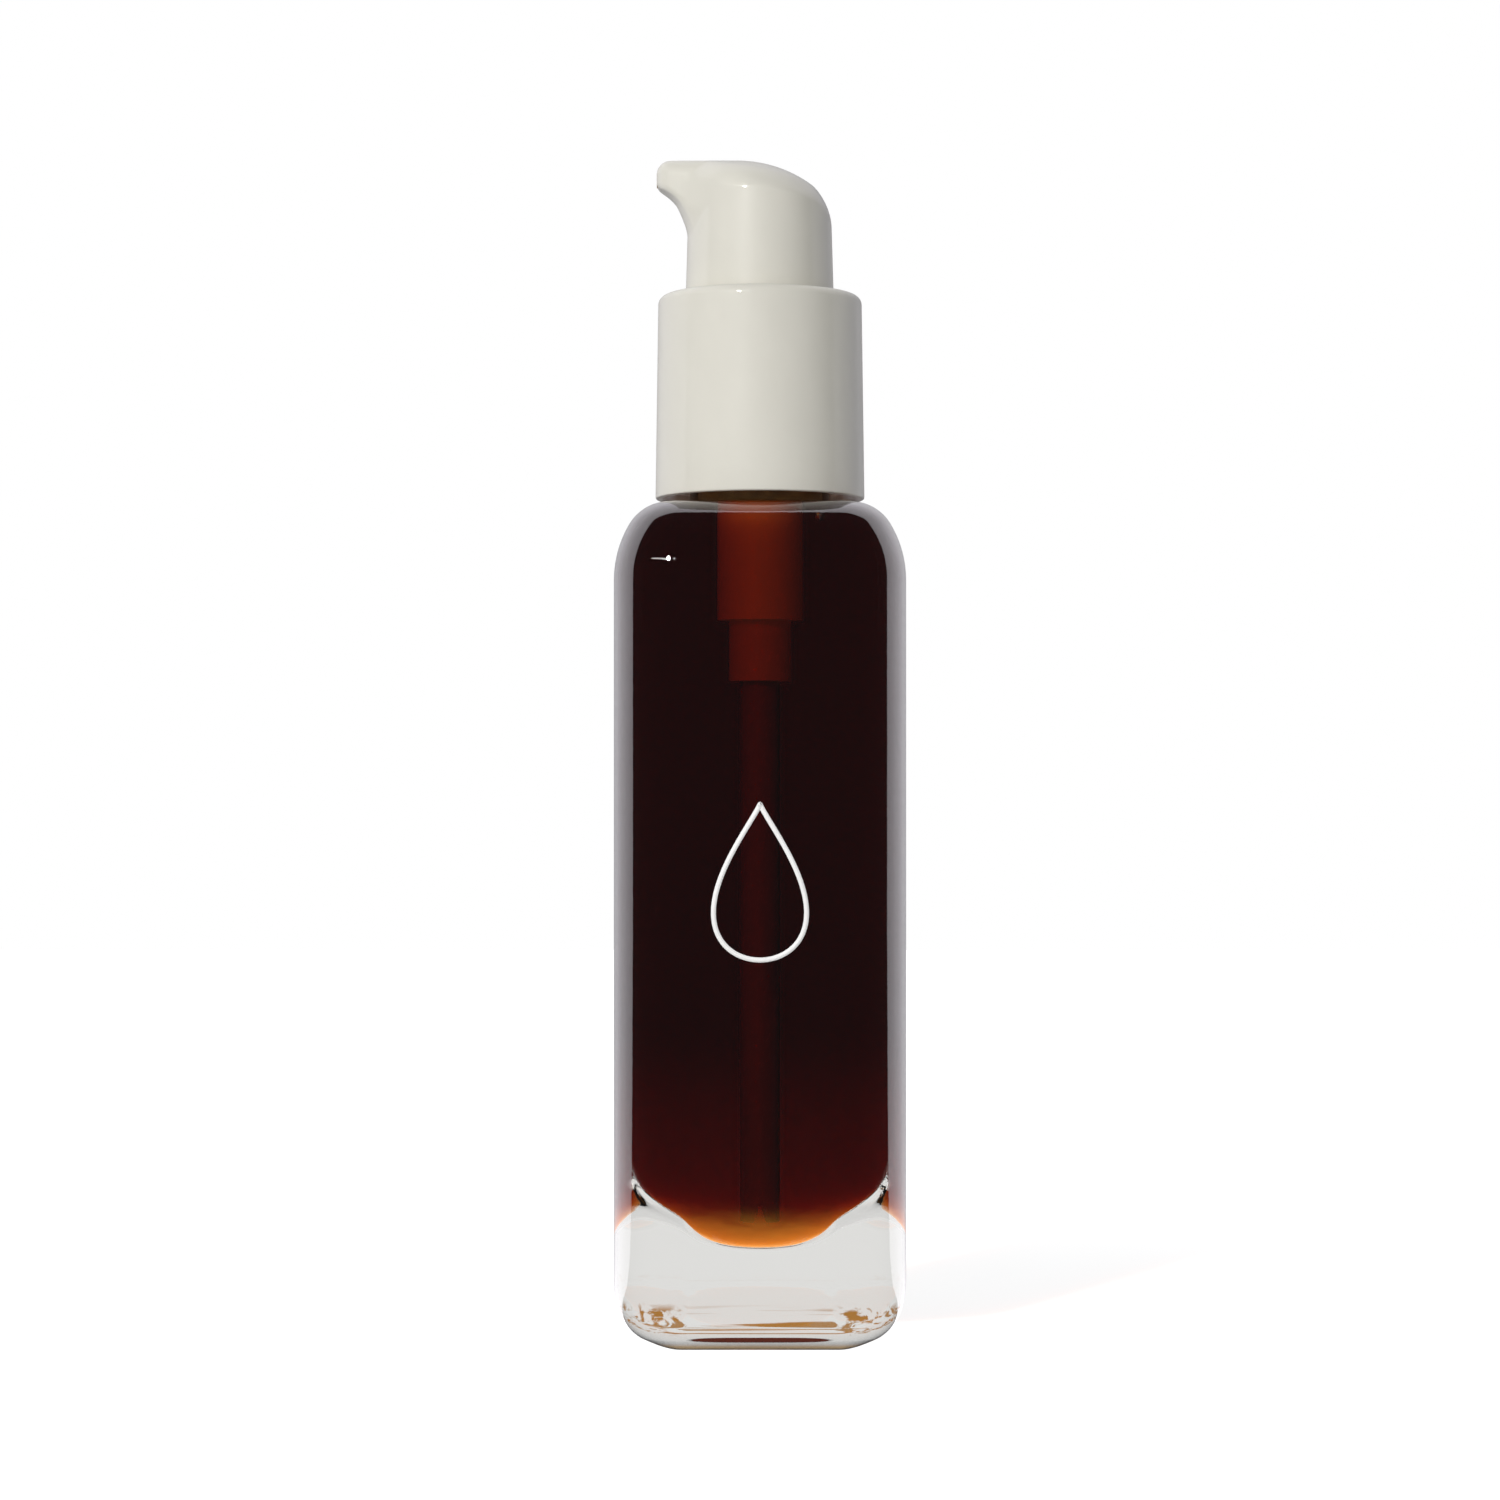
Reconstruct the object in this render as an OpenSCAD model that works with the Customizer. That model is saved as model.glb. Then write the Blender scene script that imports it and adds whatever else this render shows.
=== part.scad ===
// Pump oil bottle: a heavy soft-square glass bottle closed by a screw-on treatment pump.
// Millimetres. The origin is on the bottle's axis in the plane it stands on, +Z is up,
// the flat front faces -Y and the nozzle points to -X.

/* [Glass bottle] */
// Width and depth of the body over its flats
body_w = 32; // [30:0.5:36]
// Radius of the four upright corners
corner_r = 7.5; // [7.25:0.25:9]
// Radius of the edge round the base
base_edge_r = 6.5; // [4:0.25:7]
// Glass thickness of the side walls
wall = 3.4; // [2.6:0.1:4.2]
// Glass under the middle of the bowl
floor_t = 10.7; // [8:0.1:14]
// Height of the shoulder's flat top
shoulder_z = 92.8; // [80:0.2:110]
// Glass over the cavity at the shoulder
shoulder_t = 2; // [1.4:0.1:3]
// Upper arc of the shoulder
shoulder_r = 5; // [4:0.25:6]
// Lower arc of the shoulder, which runs into the side
side_blend_r = 12; // [9:0.5:13]
// Angle at which the two shoulder arcs meet
shoulder_turn = 31; // [25:1:40]
// Height of the bowl from its lowest point to the straight wall
bowl_h = 8.7; // [7.9:0.1:10]
// Radius where the bowl turns up into the wall
bowl_edge_r = 6.9; // [5.6:0.1:7.2]
// Radius of the cavity's upper edge
cavity_top_r = 3; // [1:0.25:3]
// Width of the ring that the bottle stands on
bearing_w = 1.6; // [1:0.1:3]
// Rise of the hollow under the base
push_up_h = 0.9; // [0.4:0.1:2]

/* [Neck finish] */
// Diameter of the neck at the thread's root
neck_d = 15.8; // [15.3:0.1:16]
// Bore of the neck
bore_d = 10.6; // [10.2:0.1:11]
// Height of the finish above the shoulder
finish_h = 14.6; // [13:0.1:16]
// Depth of the thread that the neck carries
thread_h = 0.95; // [0.7:0.05:1.1]
// Fillet between shoulder and neck
neck_root_r = 0.8; // [0.4:0.1:1.2]
// Rounding of the sealing lip
lip_r = 0.6; // [0.2:0.1:1]

/* [Closure and collar] */
// Wall of the threaded closure
closure_wall = 1.1; // [0.9:0.05:1.4]
// Thickness of the closure's top
closure_top_t = 1.2; // [0.9:0.1:1.6]
// Gap between the shoulder and the collar's rim
collar_gap = 1; // [0.6:0.1:2]
// How far the closure stops short of the collar's rim
closure_recess = 0.9; // [0.4:0.1:1.6]
// Height of the grip ribs between closure and collar
grip_rib_h = 0.35; // [0.2:0.05:0.5]
// Number of grip ribs
grip_ribs = 16; // [8:1:24]
// Wall of the collar
collar_wall = 0.9; // [0.8:0.05:1.3]
// How much wider the collar's radius is at its rim than at its top
collar_draft = 0.3; // [0.1:0.05:0.5]
// Rounding of the collar's top edge
collar_edge_r = 1; // [0.5:0.1:1.3]
// Thickness of the collar's top
collar_top_t = 1.1; // [0.8:0.1:1.6]

/* [Pump engine] */
// Outer diameter of the housing's barrel
barrel_d = 9.4; // [9:0.1:9.6]
// Wall of the barrel
barrel_wall = 0.9; // [0.8:0.05:1.1]
// Depth of the barrel below the neck's sealing face
barrel_depth = 27.4; // [26:0.2:34]
// Outer diameter of the housing's lower spigot
spigot_d = 6.8; // [6.6:0.1:7.2]
// Length of the lower spigot
spigot_h = 6.7; // [6.4:0.1:9]
// Thickness of the housing's flange
flange_t = 1.6; // [1.2:0.1:2]
// Thickness of the neck gasket
gasket_t = 1; // [0.8:0.1:1.6]
// Stroke of the pump
stroke = 4.3; // [3:0.1:5]
// How far the piston lags behind the stem, which opens the outlet
valve_lag = 0.5; // [0.3:0.05:0.7]
// Outer diameter of the stem
stem_d = 4.4; // [4:0.1:4.6]
// Bore of the stem
stem_bore = 2.6; // [2.2:0.1:2.8]
// Wire diameter of the return spring
wire_d = 0.6; // [0.5:0.05:0.65]
// Mean diameter of the return spring
coil_d = 5.8; // [5.6:0.05:6]
// Number of turns of the return spring
coils = 9; // [7:1:11]
// Diameter of the inlet ball
ball_d = 3.2; // [3:0.1:3.3]
// Lift of the inlet ball
ball_lift = 0.8; // [0.5:0.1:0.9]
// Outer diameter of the dip tube
tube_d = 4.4; // [4:0.1:4.5]
// Bore of the dip tube
tube_bore = 3; // [2.4:0.1:3.2]
// Clearance between the dip tube's end and the bowl
tube_clear = 2.8; // [1.5:0.1:5]

/* [Actuator] */
// Diameter of the actuator under its crown
head_d = 15.8; // [15.4:0.1:16.4]
// How much wider the radius is at the skirt's rim
head_draft = 0.4; // [0:0.05:0.5]
// Height of the actuator above the collar
head_h = 15; // [13.6:0.1:18]
// Wall of the actuator
head_wall = 1.1; // [0.9:0.05:1.4]
// Wall under the crown
crown_wall = 1.5; // [1.2:0.1:2]
// Distance from the axis to where the crown's flat ends, towards the nozzle
crown_flat = 2.5; // [1.5:0.1:3]
// Radius of the crown's slope
crown_r = 14; // [12:0.2:15]
// Angle at which the slope runs into the back
crown_turn = 36; // [30:1:40]
// Rounding of the crown's edge
crown_edge_r = 1.6; // [0.8:0.1:2]
// Reach of the nozzle from the axis
nozzle_reach = 11.5; // [10.6:0.1:14]
// Width of the nozzle at its tip
nozzle_w = 4.8; // [4.2:0.1:5.6]
// Height of the nozzle at its tip
nozzle_h = 3.1; // [2.8:0.1:4]
// Radius of the hollow under the nozzle
throat_r = 5; // [4:0.1:6]
// Bore of the outlet
outlet_d = 1.5; // [1:0.1:1.6]

/* [Clearances] */
// Running clearance on a radius
run_gap = 0.04; // [0.02:0.01:0.08]
// Clearance between parts that slip past each other
slip_gap = 0.15; // [0.1:0.05:0.2]
// Gap between the collar's opening and the actuator
opening_gap = 0.3; // [0.2:0.05:0.5]
// Gap between the oil and whatever it surrounds
oil_gap = 0.15; // [0.1:0.05:0.3]

/* [Hidden] */

$fn = 96;
steps_fine = 12;                           // chords in the arc of a large radius
steps = 8;                                 // and in the arc of a small one
steps_few = 6;
eps = 0.01;                                // overlap that joins the solids of one piece

// Glass body
half_w = body_w / 2;
in_half = half_w - wall;                   // half width of the cavity
in_corner_r = corner_r - wall;
shoulder_in = side_blend_r - (side_blend_r - shoulder_r) * cos(shoulder_turn);
side_top = shoulder_z - shoulder_r - (side_blend_r - shoulder_r) * sin(shoulder_turn);
cavity_top = shoulder_z - shoulder_t;
push_up_r = half_w - base_edge_r - bearing_w;
push_up_ball_r = (pow(push_up_r, 2) + pow(push_up_h, 2)) / (2 * push_up_h);
bowl_z = floor_t + bowl_h;                 // where the bowl meets the straight wall
bowl_cx = in_half - bowl_edge_r;           // distance of the edge arc's centre from the axis
bowl_turn = 45;                            // angle through which the bowl's edge turns inwards
dish_lead = 0.3;                           // slope between the edge's arc and the dish
dish_x = bowl_cx + bowl_edge_r * cos(bowl_turn) - dish_lead * sin(bowl_turn);
dish_h = bowl_h - bowl_edge_r * sin(bowl_turn) - dish_lead * cos(bowl_turn);
dish_r = (pow(dish_x, 2) + pow(dish_h, 2)) / (2 * dish_h);
mouth_r = 1.2;                             // rounding where the cavity enters the neck

// Neck, and what stacks up on it
neck_r = neck_d / 2;
bore_r = bore_d / 2;
finish_top = shoulder_z + finish_h;
gasket_top = finish_top + gasket_t;
gasket_over = 0.3;                         // how far the gasket stands out from the neck
gasket_r = neck_r + gasket_over;
flange_top = gasket_top + flange_t;
closure_bore_r = neck_r + thread_h + slip_gap;
closure_r = closure_bore_r + closure_wall;
closure_roof = flange_top + run_gap;
closure_top = closure_roof + closure_top_t;
collar_bottom = shoulder_z + collar_gap;
closure_bottom = collar_bottom + closure_recess;
collar_in_r = closure_r + grip_rib_h;
collar_top_r = collar_in_r + collar_wall;
collar_ledge_w = 0.8;                      // ledge that seats the collar on the closure
collar_ledge_r = closure_r - collar_ledge_w;
collar_ledge_h = 1;
collar_chamfer = 0.35;                     // inside the collar's rim
skirt_bottom = closure_top + stroke + 2 * slip_gap;
skirt_cover = 0.6;                         // how far the skirt reaches into the collar
collar_top = skirt_bottom + skirt_cover;
collar_open_r = head_d / 2 + head_draft + opening_gap;

// Pump housing
barrel_r = barrel_d / 2;
barrel_bore_r = barrel_r - barrel_wall;
barrel_bottom = finish_top - barrel_depth;
barrel_lip_h = 1.9;                        // rim of the barrel above the flange, held by the cap
barrel_rim = flange_top + barrel_lip_h;
spigot_r = spigot_d / 2;
spigot_bottom = barrel_bottom - spigot_h;
flange_r = closure_bore_r - 2 * slip_gap;
ledge_t = 1;                               // floor of the barrel
spring_z = barrel_bottom + ledge_t;        // ledge that the spring stands on
vent_d = 0.9;
ball_r = ball_d / 2;
ball_space = 0.3;                          // space round the ball
chamber_r = ball_r + ball_space;
nib_drop = 1.1;
nib_z = spring_z - nib_drop;               // nibs that keep the ball down
nib_h = 0.4;
nib_bite = 0.15;                           // how far they reach over the ball
nib_root = 0.3;                            // and into the wall
seat_r = 0.6 * ball_r;                     // inlet hole under the ball
ball_z = nib_z - slip_gap / 3 - ball_lift - ball_r;
seat_z = ball_z + seat_r - sqrt(2) * (ball_r + run_gap / 2);  // foot of the 45 degree seat
seat_t = 0.4;                              // web between the seat and the dip tube
tube_top = seat_z - seat_t;
tube_r = tube_d / 2;
tube_bottom = floor_t + tube_clear;
notch_h = 2;                               // notch that keeps the tube's end open

// Housing cap, piston, rod, spring and stem
stem_r = stem_d / 2;
cap_wall = 1.3;
cap_roof_t = 1.2;
cap_r = barrel_r + cap_wall;
cap_top = barrel_rim + cap_roof_t;
cap_grip_h = 2.6;                          // length of the sleeve that grips the barrel
guide_h = 3.4;                             // length of the stem's guide
sleeve_h = 8.6;
sleeve_wall = 0.7;
sleeve_r = barrel_bore_r - slip_gap;
sleeve_bottom = cap_top - sleeve_h;        // where the piston stops on its way up
cup_top = sleeve_bottom - slip_gap;
cup_h = 4.7;
cup_bottom = cup_top - cup_h;
cup_r = barrel_bore_r - run_gap;
cup_wall = 0.65;
web_h = 0.9;
rod_r = stem_bore / 2;
hub_drop = 1.4;                            // how far the hub hangs out of the cup
rod_seat = cup_bottom - hub_drop;          // face that the piston seals on
rod_flange_t = 1.2;
spring_top = rod_seat - rod_flange_t;
rod_spigot_h = 3.5;
flute_r = 0.35;
stem_in = 3.2;
stem_bottom = cup_bottom + stem_in;
rod_grip = 3;                              // length of rod inside the stem
coil_r = coil_d / 2;
wire_r = wire_d / 2;
socket_bottom = cap_top + stroke + slip_gap;
socket_h = 4.1;
stem_top = socket_bottom + socket_h;

// Actuator
head_r = head_d / 2;
skirt_r = head_r + head_draft;
head_top = collar_top + head_h;
back_x = head_r + 0.3 * head_draft;        // the back is upright here
back_r = (back_x + crown_flat - crown_r * sin(crown_turn)) / (1 - sin(crown_turn));
throat_z = head_top - nozzle_h - sqrt(pow(throat_r, 2) - pow(back_x + throat_r - nozzle_reach, 2));
outlet_r = outlet_d / 2;
outlet_drop = 1.85;
outlet_z = head_top - outlet_drop;
insert_wall = 0.3;
insert_r = outlet_r + insert_wall;
insert_l = 2.2;
socket_wall = 1;
socket_r = stem_r + socket_wall;
channel_r = 1;
channel_wall = 1.2;
beak_root_w = 9.4;                         // width of the nozzle where it leaves the head
beak_edge_r = 1.55;

// ---- shared shapes ----

// Points of an arc about c, from one angle to another.
function arc(c, r, from, to, chords = steps) =
    [for (i = [0 : chords]) let (a = from + (to - from) * i / chords) c + r * [cos(a), sin(a)]];

// Sweeps a right-hand half section, $w wide, round a square with rounded corners.
module square_sweep(half, r) {
    flat = half - r;
    for (turn = [0, 90, 180, 270]) rotate(turn) {
        rotate([90, 0, 0]) translate([0, 0, -flat]) linear_extrude(2 * flat)
            let ($w = half) children();
        translate([flat, flat, 0]) rotate_extrude(angle = 90) let ($w = r) children();
    }
}

module tube(r, bore, from, to) {
    translate([0, 0, from]) difference() {
        cylinder(to - from, r = r);
        translate([0, 0, -eps]) cylinder(to - from + 2 * eps, r = bore);
    }
}

module rod(r, from, to) {
    translate([0, 0, from]) cylinder(to - from, r = r);
}

// ---- glass bottle and its contents ----

// Half section of the glass body: rounded base edge, straight side, two-arc shoulder.
module glass_section() {
    low = [$w - side_blend_r, side_top];
    high = [$w - shoulder_in, shoulder_z - shoulder_r];
    polygon(concat([[0, 0]],
        arc([$w - base_edge_r, base_edge_r], base_edge_r, -90, 0, steps_fine),
        arc(low, side_blend_r, 0, shoulder_turn, steps_few),
        arc(high, shoulder_r, shoulder_turn + 90 / steps_fine, 90),
        [[0, shoulder_z]]));
}

// Half section of the cavity, drawn in by gap. It runs down past the dish that ends it.
module cavity_section(gap) {
    top = cavity_top - gap;
    edge_r = bowl_edge_r - gap;
    edge = arc([$w - edge_r, bowl_z], edge_r, -bowl_turn, 0);
    polygon(concat([[0, edge[0].y - edge[0].x / tan(bowl_turn)]], edge,
        arc([$w - cavity_top_r, top - cavity_top_r], cavity_top_r, 0, 90), [[0, top]]));
}

// The space inside the glass body, gap smaller all round.
module cavity(gap) {
    dish_z = floor_t + dish_r;
    difference() {
        square_sweep(in_half - gap, in_corner_r - gap) cavity_section(gap);
        rotate_extrude() difference() {
            translate([0, -1]) square([2 * half_w, dish_z + 1]);
            translate([0, dish_z]) circle(dish_r - gap);
        }
    }
}

module glass_bottle() {
    color([0.93, 0.95, 0.96, 0.4]) difference() {
        union() {
            square_sweep(half_w, corner_r) glass_section();
            rotate_extrude() polygon(concat(
                [[0, shoulder_z - shoulder_t / 2], [neck_r + neck_root_r, shoulder_z - shoulder_t / 2]],
                arc([neck_r + neck_root_r, shoulder_z + neck_root_r], neck_root_r, 270, 180, steps_few),
                arc([neck_r - lip_r, finish_top - lip_r], lip_r, 0, 90, steps_few),
                [[0, finish_top]]));
        }
        cavity(0);
        rotate_extrude() polygon(concat([[0, cavity_top - 1], [bore_r + mouth_r, cavity_top - 1]],
            arc([bore_r + mouth_r, cavity_top + mouth_r], mouth_r, 270, 180, steps_few),
            [[bore_r, finish_top + 1], [0, finish_top + 1]]));
        translate([0, 0, push_up_h - push_up_ball_r]) sphere(push_up_ball_r);
    }
}

module oil_fill() {
    color([0.35, 0.1, 0.02]) difference() {
        cavity(oil_gap);
        rod(barrel_r + oil_gap, barrel_bottom - oil_gap, cavity_top + 1);
        rod(spigot_r + oil_gap, spigot_bottom - oil_gap, barrel_bottom);
        rod(tube_r + oil_gap, tube_bottom - oil_gap, spigot_bottom);
    }
}

// ---- closure and collar ----

module screw_closure() {
    color([0.84, 0.83, 0.79]) {
        rotate_extrude() polygon([[closure_bore_r, closure_bottom], [closure_r, closure_bottom],
            [closure_r, closure_top], [cap_r + slip_gap, closure_top],
            [cap_r + slip_gap, closure_roof], [closure_bore_r, closure_roof]]);
        for (i = [1 : grip_ribs])
            rotate(i * 360 / grip_ribs) translate([closure_r, 0, closure_bottom + 1])
                cylinder(closure_top - closure_bottom - 2, r = grip_rib_h);
    }
}

// The collar's wall tapers outwards to its rim, and its top edge is rounded.
module collar_sheath() {
    rim_r = collar_top_r + collar_draft;
    under_top = collar_top - collar_top_t;
    ledge_top = closure_top + collar_ledge_h;
    color([0.84, 0.83, 0.79]) rotate_extrude() polygon(concat(
        [[collar_in_r + collar_chamfer, collar_bottom], [rim_r, collar_bottom]],
        arc([collar_top_r - collar_edge_r, collar_top - collar_edge_r], collar_edge_r, 0, 90),
        [[collar_open_r, collar_top], [collar_open_r, under_top], [collar_in_r, under_top],
        [collar_in_r, ledge_top], [collar_ledge_r, ledge_top], [collar_ledge_r, closure_top],
        [collar_in_r, closure_top], [collar_in_r, collar_bottom + collar_chamfer]]));
}

module neck_gasket() {
    color([0.92, 0.92, 0.9]) tube(gasket_r, barrel_r + slip_gap, finish_top, gasket_top);
}

// ---- pump engine ----

// Barrel and flange, the spigot under them, and the bores for spring, ball and dip tube.
module pump_housing() {
    color([0.9, 0.9, 0.88]) {
        difference() {
            rotate_extrude() polygon([[tube_r, spigot_bottom], [spigot_r, spigot_bottom],
                [spigot_r, barrel_bottom], [barrel_r, barrel_bottom],
                [barrel_r, gasket_top], [flange_r, gasket_top],
                [flange_r, flange_top], [barrel_r, flange_top],
                [barrel_r, barrel_rim], [barrel_bore_r, barrel_rim],
                [barrel_bore_r, spring_z], [chamber_r, spring_z],
                [chamber_r, seat_z + chamber_r - seat_r], [seat_r, seat_z],
                [seat_r, tube_top], [tube_r, tube_top]]);
            translate([0, 0, finish_top - vent_d]) rotate([-90, 0, 0])
                cylinder(barrel_r + 1, d = vent_d);
        }
        for (i = [0 : 2])
            rotate(120 * i) translate([0, 0, nib_z]) rotate_extrude(angle = 40)
                translate([ball_r - nib_bite, 0])
                    square([ball_space + nib_bite + nib_root, nib_h]);
    }
}

// Its slot takes the barrel's rim, its sleeve stops the piston, and its bore guides the stem.
module housing_cap() {
    guide_r = stem_r + run_gap;
    guide_z = cap_top - guide_h;
    grip_z = barrel_rim - cap_grip_h;
    color([0.88, 0.88, 0.85]) rotate_extrude() polygon([
        [sleeve_r - sleeve_wall, sleeve_bottom], [sleeve_r, sleeve_bottom],
        [sleeve_r, grip_z], [barrel_bore_r, grip_z],
        [barrel_bore_r, barrel_rim], [barrel_r, barrel_rim],
        [barrel_r, flange_top], [cap_r, flange_top],
        [cap_r, cap_top], [guide_r, cap_top],
        [guide_r, guide_z], [sleeve_r - sleeve_wall, guide_z]]);
}

module dip_tube() {
    color([0.86, 0.85, 0.8, 0.7]) difference() {
        tube(tube_r, tube_bore / 2, tube_bottom, tube_top);
        rotate([90, 0, 0]) linear_extrude(4 * tube_r, center = true)
            polygon([[-tube_r / 2, tube_bottom - 1], [0, tube_bottom + notch_h], [tube_r / 2, tube_bottom - 1]]);
    }
}

module inlet_ball() {
    color([0.75, 0.77, 0.8]) translate([0, 0, ball_z]) sphere(ball_r);
}

// Height of the wire's centre after t of its turns: the first and last turn lie flat.
function coil_z(t) = let (free = spring_top - spring_z - 2 * wire_r - 2 * wire_d)
    spring_z + wire_r + wire_d * min(t, 1) + free * max(0, min(t - 1, coils - 2)) / (coils - 2)
    + wire_d * max(0, t - coils + 1);

module return_spring() {
    sides = 8;
    rings = 16 * coils;
    points = [for (i = [0 : rings], k = [0 : sides - 1])
        let (turn = 360 * i / 16, a = 360 * k / sides, r = coil_r + wire_r * cos(a))
        [r * cos(turn), r * sin(turn), coil_z(i / 16) + wire_r * sin(a)]];
    walls = [for (i = [0 : rings - 1], k = [0 : sides - 1])
        let (a = i * sides + k, b = i * sides + (k + 1) % sides)
        [a, b, b + sides, a + sides]];
    start = [for (k = [sides - 1 : -1 : 0]) k];
    end = [for (k = [0 : sides - 1]) rings * sides + k];
    color([0.7, 0.72, 0.75]) polyhedron(points, concat([start], walls, [end]), convexity = 2 * coils);
}

// A cup whose two lips wipe the barrel, on a hub that slides on the rod.
module piston() {
    hub_bottom = rod_seat + run_gap;
    hub_top = stem_bottom - valve_lag - run_gap;
    hub_r = rod_r + run_gap + 0.7;
    lip_h = 0.8;
    waist_r = cup_r - 0.2;
    color([0.93, 0.93, 0.9]) rotate_extrude() {
        polygon([[cup_r - cup_wall, cup_bottom], [cup_r, cup_bottom], [cup_r, cup_bottom + lip_h],
            [waist_r, cup_bottom + 1.5 * lip_h], [waist_r, cup_top - 1.5 * lip_h],
            [cup_r, cup_top - lip_h], [cup_r, cup_top], [cup_r - cup_wall, cup_top]]);
        translate([rod_r + run_gap, hub_bottom]) square([hub_r - rod_r - run_gap, hub_top - hub_bottom]);
        translate([hub_r - eps, cup_bottom]) square([cup_r - cup_wall - hub_r + 2 * eps, web_h]);
    }
}

// Its flange closes the piston from below. The flutes let the oil up into the stem.
module piston_rod() {
    flutes = 4;
    top = stem_bottom + rod_grip;
    color([0.82, 0.82, 0.8]) difference() {
        union() {
            rod(rod_r, rod_seat - eps, top);
            rod(coil_r + wire_r, spring_top, rod_seat);
            rod(coil_r - wire_r - 0.4, spring_top - rod_spigot_h, spring_top + eps);
        }
        for (i = [1 : flutes])
            rotate(i * 360 / flutes) translate([rod_r, 0, rod_seat + 0.4])
                cylinder(top - rod_seat, r = flute_r);
    }
}

module pump_stem() {
    color([0.88, 0.88, 0.86]) tube(stem_r, rod_r, stem_bottom, stem_top);
}

// ---- actuator ----

// Side view of the head: a flat top that slopes away and turns down into the back.
module crown_section(gap) {
    slope = [-crown_flat, head_top - crown_r];
    back = slope + (crown_r - back_r) * [sin(crown_turn), cos(crown_turn)];
    polygon(concat([[-2 * head_r, skirt_bottom - 2], [back_x - gap, skirt_bottom - 2]],
        arc(back, back_r - gap, 0, 90 - crown_turn),
        arc(slope, crown_r - gap, 92 - crown_turn, 90),
        [[-2 * head_r, head_top - gap]]));
}

// Outer form of the head, or its hollow when drawn in at the side and at the crown.
module head_form(side_gap, crown_gap) {
    edge_r = max(crown_edge_r - crown_gap, 0.4);
    r = head_r - side_gap;
    top = head_top - crown_gap;
    foot = skirt_bottom - (side_gap > 0 ? 1 : 0);
    intersection() {
        rotate_extrude() polygon(concat([[0, foot], [skirt_r - side_gap, foot]],
            arc([r - edge_r, top - edge_r], edge_r, 0, 90), [[0, top]]));
        rotate([90, 0, 0]) linear_extrude(4 * head_r, center = true) crown_section(crown_gap);
    }
}

// The nozzle: a tapering block with rounded edges and a hollow throat.
module beak() {
    tip_x = -nozzle_reach + beak_edge_r;
    root_x = -head_r / 2;
    difference() {
        hull() for (end = [[tip_x, nozzle_w], [root_x, beak_root_w]], side = [-1, 1])
            translate([end.x, side * (end.y / 2 - beak_edge_r), throat_z]) {
                cylinder(head_top - beak_edge_r - throat_z, r = beak_edge_r, $fn = 32);
                translate([0, 0, head_top - beak_edge_r - throat_z]) sphere(beak_edge_r, $fn = 32);
            }
        translate([-back_x - throat_r, 0, throat_z]) rotate([90, 0, 0])
            cylinder(4 * head_r, r = throat_r, center = true);
    }
}

module outlet_bore(r, from, to) {
    translate([-from, 0, outlet_z]) rotate([0, 90, 0]) cylinder(from - to, r = r);
}

module actuator() {
    block_w = 2 * (channel_r + channel_wall);
    color([0.85, 0.84, 0.8]) difference() {
        union() {
            difference() {
                union() {
                    head_form(0, 0);
                    beak();
                }
                head_form(head_wall, crown_wall);
            }
            rod(socket_r, socket_bottom, outlet_z);
            intersection() {
                head_form(head_wall / 2, crown_wall / 2);
                translate([-skirt_r, -block_w / 2, outlet_z - channel_r - channel_wall])
                    cube([skirt_r + socket_r, block_w, nozzle_h]);
            }
        }
        rod(stem_r + run_gap, socket_bottom - 1, stem_top + run_gap);
        rod(channel_r, stem_top, outlet_z);
        outlet_bore(channel_r, nozzle_reach - insert_l + eps, -channel_r);
        outlet_bore(insert_r, nozzle_reach + 1, nozzle_reach - insert_l);
    }
}

module nozzle_insert() {
    color([0.8, 0.74, 0.62]) difference() {
        intersection() {
            beak();
            outlet_bore(insert_r, nozzle_reach + 1, nozzle_reach - insert_l);
        }
        outlet_bore(outlet_r, nozzle_reach + 2, nozzle_reach - insert_l - 1);
    }
}

glass_bottle();
oil_fill();
screw_closure();
collar_sheath();
neck_gasket();
pump_housing();
housing_cap();
dip_tube();
inlet_ball();
return_spring();
piston();
piston_rod();
pump_stem();
actuator();
nozzle_insert();
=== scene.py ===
import bpy
import bmesh
import math
import numpy as np
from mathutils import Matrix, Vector


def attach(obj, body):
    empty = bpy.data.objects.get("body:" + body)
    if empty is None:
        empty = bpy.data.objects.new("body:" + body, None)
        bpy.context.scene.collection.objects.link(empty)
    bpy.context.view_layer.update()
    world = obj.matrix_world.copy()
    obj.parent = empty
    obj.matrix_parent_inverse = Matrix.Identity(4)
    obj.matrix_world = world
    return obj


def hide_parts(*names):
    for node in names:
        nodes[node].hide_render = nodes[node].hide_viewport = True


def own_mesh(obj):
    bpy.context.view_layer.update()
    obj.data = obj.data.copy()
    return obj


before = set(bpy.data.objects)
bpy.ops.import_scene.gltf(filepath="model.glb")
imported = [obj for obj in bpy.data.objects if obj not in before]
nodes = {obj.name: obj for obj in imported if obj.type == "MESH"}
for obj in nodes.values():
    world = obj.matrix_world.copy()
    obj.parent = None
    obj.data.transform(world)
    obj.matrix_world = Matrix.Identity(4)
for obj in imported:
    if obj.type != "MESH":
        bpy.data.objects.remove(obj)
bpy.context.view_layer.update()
MM = 0.001
scene = bpy.context.scene

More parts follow.
